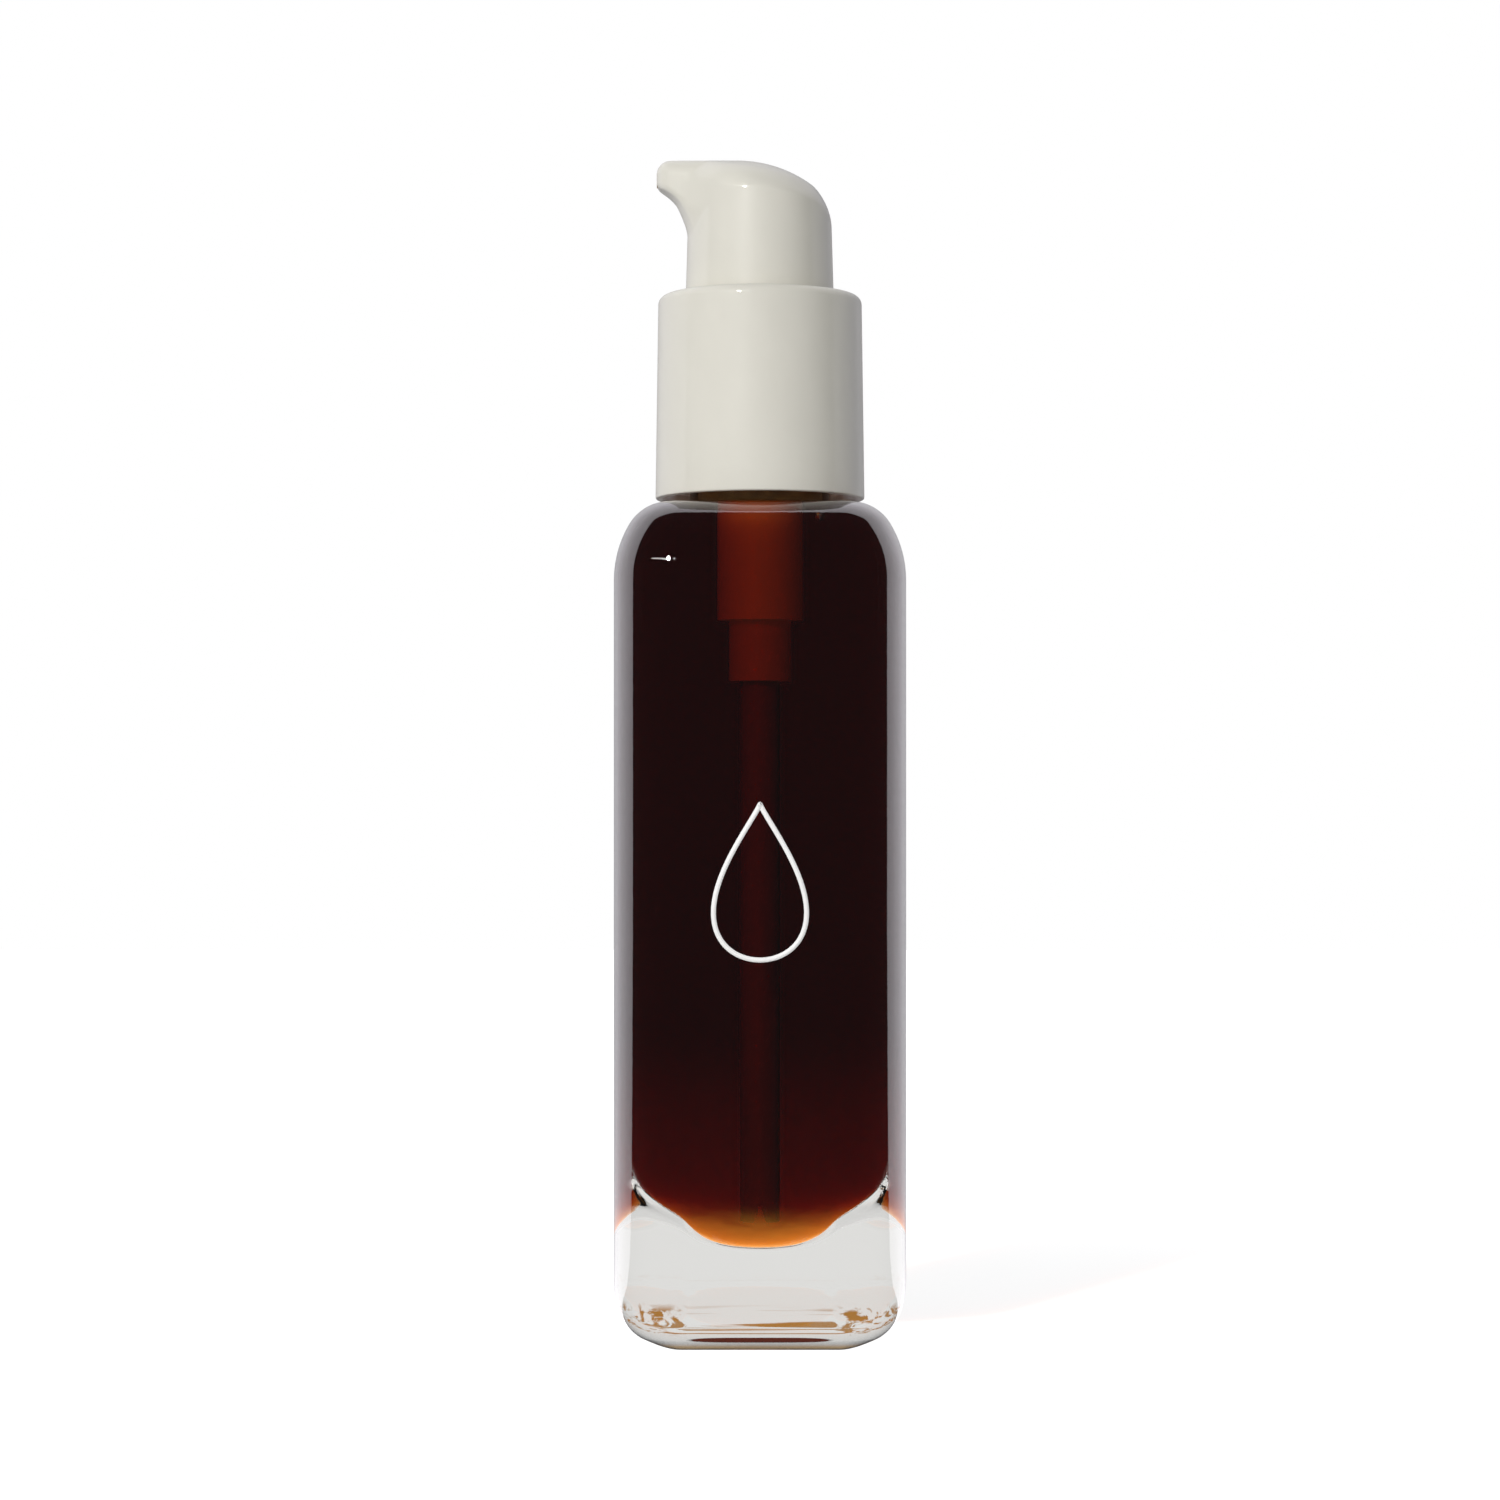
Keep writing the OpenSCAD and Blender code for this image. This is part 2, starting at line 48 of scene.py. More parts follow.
# ---------------------------------------------------------------- sizes (mm), as in the solids
HALF_W, CORNER_R, WALL = 16.0, 7.5, 3.4
FLAT = HALF_W - CORNER_R
IN_HALF = HALF_W - WALL
SHOULDER_Z, SHOULDER_T = 92.8, 2.0
SHOULDER_R, BLEND_R, SHOULDER_TURN = 5.0, 12.0, 31.0
CAVITY_TOP_R = 3.0
BOWL_TOP = 24.7
PUSH_R, PUSH_H = 7.9, 0.9
NECK_R, BORE_R, FINISH_TOP = 7.9, 5.3, 107.4
ROOT_R, LIP_R, MOUTH_R = 0.8, 0.6, 1.2
CAVITY_TOP = SHOULDER_Z - SHOULDER_T
PITCH, THREAD_Z, THREAD_TURNS, THREAD_H = 3.18, 99.0, 1.6, 0.95
CLOSURE_BORE_R = 9.0
COLLAR_IN_R, COLLAR_R, RIM_R, COLLAR_OPEN_R = 10.45, 11.35, 11.65, 8.6
COLLAR_BOTTOM, COLLAR_TOP, COLLAR_TOP_T = 93.8, 116.44, 1.1
CLOSURE_TOP, LEDGE_R = 111.24, 9.3
HEAD_R, SKIRT_R, SKIRT_BOTTOM, HEAD_TOP = 7.9, 8.3, 115.84, 131.44
SKIN = 0.02                                   # between the oil's surface and the glass
OIL_TOP = 103.0                               # level of the oil in the neck


# ---------------------------------------------------------------- mesh helpers
def mesh_piece(name, verts, faces, body, slot, replaces=None):
    """A smooth-shaded piece from points in mm; it rides on a body; its slot argument is not used."""
    me = bpy.data.meshes.new(name)
    me.from_pydata([(x * MM, y * MM, z * MM) for x, y, z in verts], [], faces)
    bm = bmesh.new()
    bm.from_mesh(me)
    bmesh.ops.recalc_face_normals(bm, faces=bm.faces)
    bm.to_mesh(me)
    bm.free()
    me.shade_smooth()
    ob = bpy.data.objects.new(name, me)
    scene.collection.objects.link(ob)
    if replaces:
        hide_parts(replaces)
    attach(ob, body)
    return ob


def loft(name, rings, body, slot, replaces=None):
    """A closed form through rings of equal count, with a fan at each end."""
    n = len(rings[0])
    verts = [p for ring in rings for p in ring]
    faces = []
    for k in range(len(rings) - 1):
        for i in range(n):
            j = (i + 1) % n
            faces.append((k * n + i, k * n + j, (k + 1) * n + j, (k + 1) * n + i))
    for base, order in ((0, 1), (n * (len(rings) - 1), -1)):
        hub = len(verts)
        verts.append(tuple(sum(verts[base + i][a] for i in range(n)) / n for a in range(3)))
        for i in range(n):
            faces.append((hub, base + (i + 1) % n, base + i)[::order])
    return mesh_piece(name, verts, faces, body, slot, replaces)


def revolve(name, profile, body, slot, replaces=None, n=160, shape=None):
    """A closed profile of (r, z) turned about the axis; shape(r, z, a) may move a point."""
    m = len(profile)
    verts, faces = [], []
    for i in range(n):
        a = 2 * math.pi * i / n
        for r, z in profile:
            rr = shape(r, z, a) if shape else r
            verts.append((rr * math.cos(a), rr * math.sin(a), z))
    for i in range(n):
        for k in range(m):
            a, b = i * m + k, i * m + (k + 1) % m
            c, d = ((i + 1) % n) * m + (k + 1) % m, ((i + 1) % n) * m + k
            faces.append((a, b, c, d))
    return mesh_piece(name, verts, faces, body, slot, replaces)


def arc(c, r, a0, a1, steps):
    out = []
    for i in range(steps + 1):
        a = math.radians(a0 + (a1 - a0) * i / steps)
        out.append((c[0] + r * math.cos(a), c[1] + r * math.sin(a)))
    return out


def smooth(points, steps):
    """A curve of steps pieces between each pair of points, passing through all of them."""
    pts = [tuple(2 * a - b for a, b in zip(points[0], points[1]))] + list(points)
    pts.append(tuple(2 * a - b for a, b in zip(points[-1], points[-2])))
    out = [points[0]]
    for p0, p1, p2, p3 in zip(pts, pts[1:], pts[2:], pts[3:]):
        for k in range(1, steps + 1):
            t = k / steps
            out.append(tuple(0.5 * (2 * b + (c - a) * t + (2 * a - 5 * b + 4 * c - d) * t * t
                                    + (3 * b - a - 3 * c + d) * t ** 3)
                             for a, b, c, d in zip(p0, p1, p2, p3)))
    return out


SIDE_STEPS, CORNER_STEPS = 20, 18
DIRS = [(q, kind, t) for q in range(4) for kind, t in
        [("flat", -1 + 2 * (i + 0.5) / SIDE_STEPS) for i in range(SIDE_STEPS)]
        + [("corner", 90.0 * i / CORNER_STEPS) for i in range(CORNER_STEPS + 1)]]
RING_N = len(DIRS)


def square_ring(half, flat=FLAT):
    """Points (x, y) of a rounded square whose corner radius is half - flat."""
    flat = min(flat, half)
    r = half - flat
    pts = []
    for q, kind, t in DIRS:
        if kind == "flat":
            x, y = half, flat * t
        else:
            a = math.radians(t)
            x, y = flat + r * math.cos(a), flat + r * math.sin(a)
        c, s = round(math.cos(q * math.pi / 2)), round(math.sin(q * math.pi / 2))
        pts.append((x * c - y * s, x * s + y * c))
    return pts


GUIDE = [math.atan2(y, x) for x, y in square_ring(10.0)]


def circle_ring(r):
    return [(r * math.cos(a), r * math.sin(a)) for a in GUIDE]


def flat_ring(pts, z):
    return [(x, y, z) for x, y in pts]


# ---------------------------------------------------------------- glass and oil forms
BOWL = ((0.0, 10.5), (2.6, 10.62), (5.2, 11.05), (7.3, 11.9), (9.1, 13.3), (10.5, 15.2), (11.4, 17.0),
        (12.0, 18.9), (12.4, 20.9), (12.6, 22.8), (12.6, 24.7))
FOOT = ((7.0, 0.0), (6.2, 0.1), (5.2, 0.38), (4.4, 0.68), (3.6, 1.02), (2.9, 1.36), (2.5, 1.62),
        (2.0, 2.02), (1.5, 2.55), (1.0, 3.28), (0.6, 4.15), (0.3, 5.1), (0.1, 6.1), (0.0, 7.2))


def bowl_rings(gap=0.0):
    """A round, U-shaped pot at the bottom that opens into the cavity's soft square."""
    rings = []
    for r, z in smooth(BOWL, 5)[1:]:
        r *= (IN_HALF - gap) / IN_HALF
        k = min(max((z - 11.0) / 8.0, 0), 1)
        k = k * k * (3 - 2 * k)
        rings.append([(x * k + c * (1 - k), y * k + d * (1 - k), z + gap)
                      for (x, y), (c, d) in zip(square_ring(r), circle_ring(r))])
    return rings


def cavity_rings(gap=0.0, n_up=20):
    """Bowl, straight wall and top edge of the cavity, from the axis to the flat under the neck."""
    rings = bowl_rings(gap)
    half = IN_HALF - gap
    bz = BOWL_TOP + gap
    z1 = CAVITY_TOP - gap - CAVITY_TOP_R
    for i in range(1, n_up + 1):
        rings.append(flat_ring(square_ring(half), bz + (z1 - bz) * i / n_up))
    for x, z in arc((half - CAVITY_TOP_R, z1), CAVITY_TOP_R, 0, 90, 10)[1:]:
        rings.append(flat_ring(square_ring(x), z))
    return rings


def thread_out(a, z, h=THREAD_H):
    """Height of the right-hand thread over its root at an angle and height."""
    best = 0.0
    for k in range(-1, 4):
        t = (a % (2 * math.pi)) / (2 * math.pi) + k
        if 0 <= t <= THREAD_TURNS:
            fade = min(1.0, t / 0.08, (THREAD_TURNS - t) / 0.08)
            d = abs(z - (THREAD_Z + PITCH * t))
            best = max(best, h * fade * max(0.0, min(1.0, (0.95 - d) / 0.5)))
    return best


def glass_rings():
    rings = []
    big = (PUSH_R ** 2 + PUSH_H ** 2) / (2 * PUSH_H)
    for i in range(1, 13):
        r = PUSH_R * i / 12
        rings.append(flat_ring(circle_ring(r), PUSH_H - big + math.sqrt(big * big - r * r)))
    rings.append(flat_ring(circle_ring(PUSH_R + 0.15), 0.0))
    for inset, z in smooth(FOOT, 3):
        rings.append(flat_ring(square_ring(HALF_W - inset), max(z, 0.0)))
    turn = math.radians(SHOULDER_TURN)
    low = (HALF_W - BLEND_R, SHOULDER_Z - SHOULDER_R - (BLEND_R - SHOULDER_R) * math.sin(turn))
    inset = BLEND_R - (BLEND_R - SHOULDER_R) * math.cos(turn)
    high = (HALF_W - inset, SHOULDER_Z - SHOULDER_R)
    for i in range(1, 24):
        rings.append(flat_ring(square_ring(HALF_W), FOOT[-1][1] + (low[1] - FOOT[-1][1]) * i / 24))
    for x, z in arc(low, BLEND_R, 0, SHOULDER_TURN, 14):
        rings.append(flat_ring(square_ring(x), z))
    for x, z in arc(high, SHOULDER_R, SHOULDER_TURN, 90, 18)[1:]:
        rings.append(flat_ring(square_ring(x), z))
    for x, z in arc((NECK_R + ROOT_R, SHOULDER_Z + ROOT_R), ROOT_R, 270, 180, 8):
        rings.append(flat_ring(circle_ring(x), z))
    z = SHOULDER_Z + ROOT_R
    while z < FINISH_TOP - LIP_R - 0.3:
        z += 0.25
        rings.append([((NECK_R + thread_out(a, z)) * math.cos(a),
                       (NECK_R + thread_out(a, z)) * math.sin(a), z) for a in GUIDE])
    for x, z in arc((NECK_R - LIP_R, FINISH_TOP - LIP_R), LIP_R, 0, 90, 7):
        rings.append(flat_ring(circle_ring(x), z))
    rings.append(flat_ring(circle_ring(BORE_R + 0.25), FINISH_TOP))
    rings.append(flat_ring(circle_ring(BORE_R + 0.07), FINISH_TOP - 0.07))
    for z in (FINISH_TOP - 0.25, OIL_TOP, CAVITY_TOP + MOUTH_R + 5):
        rings.append(flat_ring(circle_ring(BORE_R), z))
    for x, z in arc((BORE_R + MOUTH_R, CAVITY_TOP + MOUTH_R), MOUTH_R, 180, 270, 9):
        rings.append(flat_ring(circle_ring(x), z))
    wet_from = len(rings) - 11
    rings += list(reversed(cavity_rings()))
    return rings, wet_from


def oil_rings():
    rings = cavity_rings(SKIN)
    for x, z in arc((BORE_R + MOUTH_R, CAVITY_TOP + MOUTH_R), MOUTH_R + SKIN, 270, 180, 9):
        rings.append(flat_ring(circle_ring(x), z))
    for i in range(1, 5):
        z = CAVITY_TOP + MOUTH_R + (OIL_TOP - CAVITY_TOP - MOUTH_R) * i / 4
        rings.append(flat_ring(circle_ring(BORE_R - SKIN), z))
    return rings


g_rings, wet_from = glass_rings()
glass = loft("glass_body", g_rings, "bottle", "glass", "glass_bottle")
oil = loft("oil_body", oil_rings(), "bottle", "oil", "oil_fill")


DROP_POINTS, DROP_HALF_W, DROP_Z, DROP_HALF_H = 120, 6.9, 51.2, 8.4
INK_OUT, INK_IN, LINE_HALF_W = 0.03, 0.02, 0.27


def print_drop():
    """Thin drop outline on the front face: a plain ornament in place of the photo's print."""
    line = []
    for k in range(DROP_POINTS):
        t = 2 * math.pi * k / DROP_POINTS
        line.append((DROP_HALF_W * math.sin(t) * math.sin(t / 2) ** 1.3,
                     DROP_Z + DROP_HALF_H * math.cos(t)))
    ring = []
    for k, (x, z) in enumerate(line):
        (x0, z0), (x1, z1) = line[k - 1], line[(k + 1) % DROP_POINTS]
        n = math.hypot(x1 - x0, z1 - z0)
        u, v = -(z1 - z0) / n, (x1 - x0) / n
        ring.append([(x + u * a, y, z + v * a) for y in (-HALF_W - INK_OUT, -HALF_W + INK_IN)
                     for a in (LINE_HALF_W, -LINE_HALF_W)])
    verts = [p for r in ring for p in r]
    faces = []
    for k in range(DROP_POINTS):
        a, b = 4 * k, 4 * ((k + 1) % DROP_POINTS)
        for p, q in ((0, 1), (1, 3), (3, 2), (2, 0)):
            faces.append((a + p, a + q, b + q, b + p))
    return verts, faces


drop = mesh_piece("print_drop", *print_drop(), "bottle", "shell_plastic")


# ---------------------------------------------------------------- actuator, as a distance field
def round_cut(a, b, r):
    """Intersection of two forms with the edge between them rounded by r."""
    return np.minimum(-r, np.maximum(a, b)) + np.hypot(np.maximum(r + a, 0), np.maximum(r + b, 0))


def round_join(a, b, r):
    """Union of two forms with a fillet of radius r between them."""
    return np.maximum(r, np.minimum(a, b)) - np.hypot(np.maximum(r - a, 0), np.maximum(r - b, 0))


def step(t):
    t = np.clip(t, 0, 1)
    return t * t * (3 - 2 * t)


CROWN_FLAT, CROWN_R, CROWN_TURN = 2.5, 14.0, math.radians(36)
BACK_X = HEAD_R + 0.12
BACK_R = (BACK_X + CROWN_FLAT - CROWN_R * math.sin(CROWN_TURN)) / (1 - math.sin(CROWN_TURN))
REACH, TIP_HALF, ROOT_X, ROOT_HALF, BEAK_EDGE = 11.5, 2.4, -3.95, 4.7, 1.5
THROAT_R, THROAT_DROP, DOME = 6.5, 8.75, 26.0
OUTLET_Z = HEAD_TOP - 1.85
STEM_R, STEM_TOP, SOCKET_BOTTOM = 2.24, 121.81, 117.66
HEAD_WALL, ROOF_T, SOCKET_R, BLOCK_HALF = 1.15, 1.6, 3.2, 2.2
DUCT_R, INSERT_R, INSERT_LENGTH = 1.0, 1.09, 2.2


def crown_side(x, z):
    """Side view of the head: a flat that slopes away in two arcs and turns down at the back."""
    c1 = (-CROWN_FLAT, HEAD_TOP - CROWN_R)
    c2 = (c1[0] + (CROWN_R - BACK_R) * math.sin(CROWN_TURN),
          c1[1] + (CROWN_R - BACK_R) * math.cos(CROWN_TURN))
    d1 = np.hypot(x - c1[0], z - c1[1]) - CROWN_R
    d2 = np.hypot(x - c2[0], z - c2[1]) - BACK_R
    on_back = np.arctan2(x - c2[0], z - c2[1]) > CROWN_TURN
    out = np.where(x < c1[0], z - HEAD_TOP, np.where(on_back, d2, d1))
    return np.where((z < c2[1]) & (x > c2[0]), x - BACK_X - 0.03 * (c2[1] - z), out)


def head_field(x, y, z):
    up = np.clip((z - SKIRT_BOTTOM) / (HEAD_TOP - 1.6 - SKIRT_BOTTOM), 0, 1)
    side = np.hypot(x, y) - (SKIRT_R + (HEAD_R - SKIRT_R) * up)
    r = 0.15 + 1.85 * step((z - HEAD_TOP + 7.5) / 5)
    return round_cut(side, crown_side(x, z + y * y / DOME), r)


def beak_field(x, y, z):
    """The nozzle: it tapers to its tip, its upper edges are round and its throat is hollow."""
    t = np.minimum((x + REACH) / (ROOT_X + REACH), 1)
    half = TIP_HALF + (ROOT_HALF - TIP_HALF) * t
    slope = (ROOT_HALF - TIP_HALF) / (ROOT_X + REACH)
    side = (np.abs(y) - half) / math.sqrt(1 + slope * slope)
    plan = round_cut(side, -REACH - x, BEAK_EDGE)
    plan = np.maximum(plan, x + 0.5)
    body = round_cut(plan, crown_side(x, z + y * y / DOME), BEAK_EDGE)
    throat = THROAT_R - np.hypot(BACK_X + THROAT_R - np.hypot(x, y), z - HEAD_TOP + THROAT_DROP)
    below = HEAD_TOP - THROAT_DROP - z
    return round_cut(round_cut(body, throat, 0.45), below, 0.2)


def actuator_field(x, y, z):
    head = head_field(x, y, z)
    fillet = 0.03 + 1.5 * step((HEAD_TOP - z - 0.4) / 2.6) * step((z - HEAD_TOP + 8.7) / 3.5)
    outer = round_join(head, beak_field(x, y, z), fillet)
    hollow = np.maximum(head + HEAD_WALL, z - HEAD_TOP + ROOF_T)
    field = np.maximum(outer, -hollow)
    r = np.hypot(x, y)
    socket = np.maximum.reduce([r - SOCKET_R, SOCKET_BOTTOM - z, head])
    block = np.maximum.reduce([np.abs(y) - BLOCK_HALF, OUTLET_Z - BLOCK_HALF - z, x - SOCKET_R,
                               head + 0.4])
    field = np.minimum(field, np.minimum(socket, block))
    bore = np.maximum(r - STEM_R, z - STEM_TOP)
    rise = np.maximum.reduce([r - DUCT_R, z - OUTLET_Z, STEM_TOP - 1 - z])
    duct = np.hypot(y, z - OUTLET_Z)
    run = np.maximum.reduce([duct - DUCT_R, x - DUCT_R, -REACH + INSERT_LENGTH - x])
    seat = np.maximum(duct - INSERT_R, x + REACH - INSERT_LENGTH)
    for cut in (bore, rise, run, seat):
        field = np.maximum(field, -cut)
    return np.maximum(field, SKIRT_BOTTOM - z)


def surface(field, low, high, cell):
    """Vertices and quads of a field's zero surface: one vertex in each cell that it crosses."""
    axes = [np.arange(l, h + cell, cell) for l, h in zip(low, high)]
    grid = np.meshgrid(*axes, indexing="ij")
    f = field(*grid)
    inside = f < 0
    shape = tuple(n - 1 for n in f.shape)
    total = np.zeros(shape + (3,))
    count = np.zeros(shape)
    corners = [(i, j, k) for i in (0, 1) for j in (0, 1) for k in (0, 1)]

    def at(a, c):
        return a[c[0]:c[0] + shape[0], c[1]:c[1] + shape[1], c[2]:c[2] + shape[2]]

    for c in corners:
        for ax in range(3):
            if c[ax]:
                continue
            d = tuple(c[i] + (i == ax) for i in range(3))
            fa, fb = at(f, c), at(f, d)
            hit = at(inside, c) != at(inside, d)
            t = np.where(hit, fa / np.where(hit, fa - fb, 1), 0)
            for i in range(3):
                total[..., i] += np.where(hit, c[i] + (t if i == ax else 0), 0)
            count += hit
    cells = count > 0
    index = -np.ones(shape, dtype=np.int64)
    index[cells] = np.arange(cells.sum())
    where = np.argwhere(cells)
    pts = (where + total[cells] / count[cells][:, None]) * cell + np.array(low)
    h = 0.02
    for _ in range(2):
        d = field(*pts.T)
        g = np.stack([(field(*(pts + h * e).T) - field(*(pts - h * e).T)) / (2 * h)
                      for e in np.eye(3)], axis=1)
        move = -(d / np.maximum((g * g).sum(1), 0.25))[:, None] * g
        size = np.linalg.norm(move, axis=1)
        pts = pts + move * np.minimum(1, 0.5 * cell / np.maximum(size, 1e-9))[:, None]
    quads = []
    for ax in range(3):
        u, v = (ax + 1) % 3, (ax + 2) % 3
        a = [slice(None)] * 3
        b = [slice(None)] * 3
        a[ax], b[ax] = slice(0, -1), slice(1, None)
        cross = np.argwhere(inside[tuple(a)] != inside[tuple(b)])
        cross = cross[(cross[:, u] > 0) & (cross[:, v] > 0)
                      & (cross[:, u] < f.shape[u] - 1) & (cross[:, v] < f.shape[v] - 1)]
        ring = []
        for du, dv in ((0, 0), (1, 0), (1, 1), (0, 1)):
            c = cross.copy()
            c[:, u] -= du
            c[:, v] -= dv
            ring.append(index[c[:, 0], c[:, 1], c[:, 2]])
        q = np.stack(ring, axis=1)
        flip = inside[tuple(cross.T)]
        q[flip] = q[flip][:, ::-1]
        quads.append(q)
    return pts.tolist(), np.concatenate(quads).tolist()


CELL = 0.17
pts, quads = surface(actuator_field, (-11.9, -8.7, 115.5), (8.7, 8.7, 131.8), CELL)
actuator = mesh_piece("actuator_shell", pts, quads, "head", "shell_plastic", "actuator")


# ---------------------------------------------------------------- turned pieces
collar = revolve(
    "collar_shell",
    [(COLLAR_IN_R + 0.4, COLLAR_BOTTOM + 0.02), (COLLAR_IN_R + 0.55, COLLAR_BOTTOM)]
    + arc((RIM_R - 0.22, COLLAR_BOTTOM + 0.22), 0.22, -90, 0, 5)
    + [(RIM_R + (COLLAR_R - RIM_R) * k / 8,
        COLLAR_BOTTOM + 0.22 + (COLLAR_TOP - 1.22 - COLLAR_BOTTOM) * k / 8) for k in range(1, 8)]
    + arc((COLLAR_R - 1, COLLAR_TOP - 1), 1, 0, 90, 14)
    + [(COLLAR_OPEN_R + 0.2, COLLAR_TOP)]
    + arc((COLLAR_OPEN_R + 0.14, COLLAR_TOP - 0.14), 0.14, 90, 180, 4)
    + [(COLLAR_OPEN_R, COLLAR_TOP - COLLAR_TOP_T), (COLLAR_IN_R, COLLAR_TOP - COLLAR_TOP_T),
       (COLLAR_IN_R, CLOSURE_TOP + 1), (LEDGE_R, CLOSURE_TOP + 1), (LEDGE_R, CLOSURE_TOP),
       (COLLAR_IN_R, CLOSURE_TOP), (COLLAR_IN_R, COLLAR_BOTTOM + 0.4)],
    "closure", "shell_plastic", "collar_sheath", n=192)


def thread_in(name, crest, root, h_root, h_crest, turns, z0, body, slot):
    """A helical ridge inside a bore: its crest stands in to a smaller radius."""
    verts, faces = [], []
    steps = int(turns * 60)
    for i in range(steps + 1):
        t = i / 60
        fade = min(1, t / 0.1, (turns - t) / 0.1)
        a, z = 2 * math.pi * t, z0 + PITCH * t
        top = root - (root - crest) * max(fade, 0.02)
        for r, dz in ((root, -h_root), (top, -h_crest), (top, h_crest), (root, h_root)):
            verts.append((r * math.cos(a), r * math.sin(a), z + dz))
    for i in range(steps):
        for k in range(4):
            a, b = i * 4 + k, i * 4 + (k + 1) % 4
            faces.append((a, b, b + 4, a + 4))
    faces += [(3, 2, 1, 0), tuple(steps * 4 + k for k in range(4))]
    return mesh_piece(name, verts, faces, body, slot)


closure_thread = thread_in("closure_thread", NECK_R + 0.25, CLOSURE_BORE_R + 0.03, 0.62, 0.3, 1.5,
                           THREAD_Z - PITCH / 2, "closure", "closure_plastic")

# the spring's own mesh again, as a piece of its own that rides on the pump
spring = bpy.data.objects.new("spring_coil", nodes["return_spring"].data.copy())
scene.collection.objects.link(spring)
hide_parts("return_spring")
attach(spring, "pump")
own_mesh(spring)


def ball_rings(c, r, squash=1.0, n=9):
    cx, cy, cz = c
    out = []
    for i in range(1, n):
        a = math.pi * i / n
        out.append([(cx + r * math.sin(a) * math.cos(b), cy + r * math.sin(a) * math.sin(b),
                     cz - squash * r * math.cos(a)) for b in
                    [2 * math.pi * k / 20 for k in range(20)]])
    return out


bubble = loft("oil_bubble_1", ball_rings((6.55, -11.95, 90.35), 0.52, 0.92), "bottle", "oil")


# ---------------------------------------------------------------- materials
def srgb(r, g, b):
    def f(v):
        v /= 255.0
        return v / 12.92 if v <= 0.04045 else ((v + 0.055) / 1.055) ** 2.4
    return (f(r), f(g), f(b), 1.0)


def add(nt, kind, **values):
    """A node; names that are sockets set their value, the rest are properties."""
    n = nt.nodes.new(kind)
    for k, v in values.items():
        if k in n.inputs:
            n.inputs[k].default_value = v
        else:
            setattr(n, k, v)
    return n


def tree_of(owner):
    owner.use_nodes = True
    owner.node_tree.nodes.clear()
    return owner.node_tree


def shader(name, color, rough, **sockets):
    m = bpy.data.materials.new(name)
    nt = tree_of(m)
    out = add(nt, "ShaderNodeOutputMaterial")
    b = add(nt, "ShaderNodeBsdfPrincipled")
    b.inputs["Base Color"].default_value = color
    b.inputs["Roughness"].default_value = rough
    for k, v in sockets.items():
        b.inputs[k.replace("_", " ")].default_value = v
    nt.links.new(b.outputs[0], out.inputs["Surface"])
    return m, nt, b, out


def coords(nt, kind="Object"):
    return add(nt, "ShaderNodeTexCoord").outputs[kind]


def split(nt, vector):
    """The X, Y and Z sockets of a vector."""
    n = add(nt, "ShaderNodeSeparateXYZ")
    nt.links.new(vector, n.inputs[0])
    return n.outputs


def turned(nt, operation, vector):
    """The sockets of a vector operation that takes one vector."""
    n = add(nt, "ShaderNodeVectorMath", operation=operation)
    nt.links.new(vector, n.inputs[0])
    return n.outputs


def calc(nt, operation, *terms):
    """A Math node's result; each term is a number or a socket."""
    n = add(nt, "ShaderNodeMath", operation=operation)
    for i, term in enumerate(terms):
        if isinstance(term, (int, float)):
            n.inputs[i].default_value = term
        else:
            nt.links.new(term, n.inputs[i])
    return n.outputs[0]


def noise(nt, feature, detail=3.0, rough=0.5, stretch=(1, 1, 1), distort=0.0):
    """Noise in object space whose lumps are about feature mm across."""
    mp = add(nt, "ShaderNodeMapping", Scale=stretch)
    no = add(nt, "ShaderNodeTexNoise", Scale=1 / (feature * MM), Detail=detail, Roughness=rough,
             Distortion=distort)
    nt.links.new(coords(nt), mp.inputs["Vector"])
    nt.links.new(mp.outputs[0], no.inputs["Vector"])
    return no.outputs["Fac"]


def ramp(nt, fac, c0, c1, p0=0.35, p1=0.65):
    r = add(nt, "ShaderNodeValToRGB")
    r.color_ramp.elements[0].position, r.color_ramp.elements[0].color = p0, c0
    r.color_ramp.elements[1].position, r.color_ramp.elements[1].color = p1, c1
    nt.links.new(fac, r.inputs["Fac"])
    return r.outputs["Color"]


def spread(nt, fac, low, high, a=0.3, b=0.7):
    r = add(nt, "ShaderNodeMapRange")
    for k, v in (("From Min", a), ("From Max", b), ("To Min", low), ("To Max", high)):
        r.inputs[k].default_value = v
    nt.links.new(fac, r.inputs["Value"])
    return r.outputs[0]


def between(nt, value, a, b, low, high):
    r = add(nt, "ShaderNodeMapRange", interpolation_type="SMOOTHSTEP")
    for k, v in (("From Min", a), ("From Max", b), ("To Min", low), ("To Max", high)):
        r.inputs[k].default_value = v
    nt.links.new(value, r.inputs["Value"])
    return r.outputs[0]


def relief(nt, b, layers):
    """Stacked bumps: (height, depth in mm) each."""
    last = None
    for fac, depth in layers:
        bump = add(nt, "ShaderNodeBump", Strength=1.0, Distance=depth * MM)
        nt.links.new(fac, bump.inputs["Height"])
        if last:
            nt.links.new(last, bump.inputs["Normal"])
        last = bump.outputs[0]
    nt.links.new(last, b.inputs["Normal"])


def see_through(nt, b):
    """Lets the lamps' light and the bounced light in without bending it, so the inside is lit."""
    lp = add(nt, "ShaderNodeLightPath")
    either = calc(nt, "MAXIMUM", lp.outputs["Is Shadow Ray"], lp.outputs["Is Diffuse Ray"])
    nt.links.new(calc(nt, "SUBTRACT", 1.0, either), b.inputs["Alpha"])


def absorb(nt, out, per_mm):
    """Plain absorption with these rates per millimetre for red, green and blue."""
    top = max(per_mm) * 1.05
    v = add(nt, "ShaderNodeVolumeAbsorption", Density=top / MM,
            Color=tuple(1 - s / top for s in per_mm) + (1,))
    nt.links.new(v.outputs[0], out.inputs["Volume"])


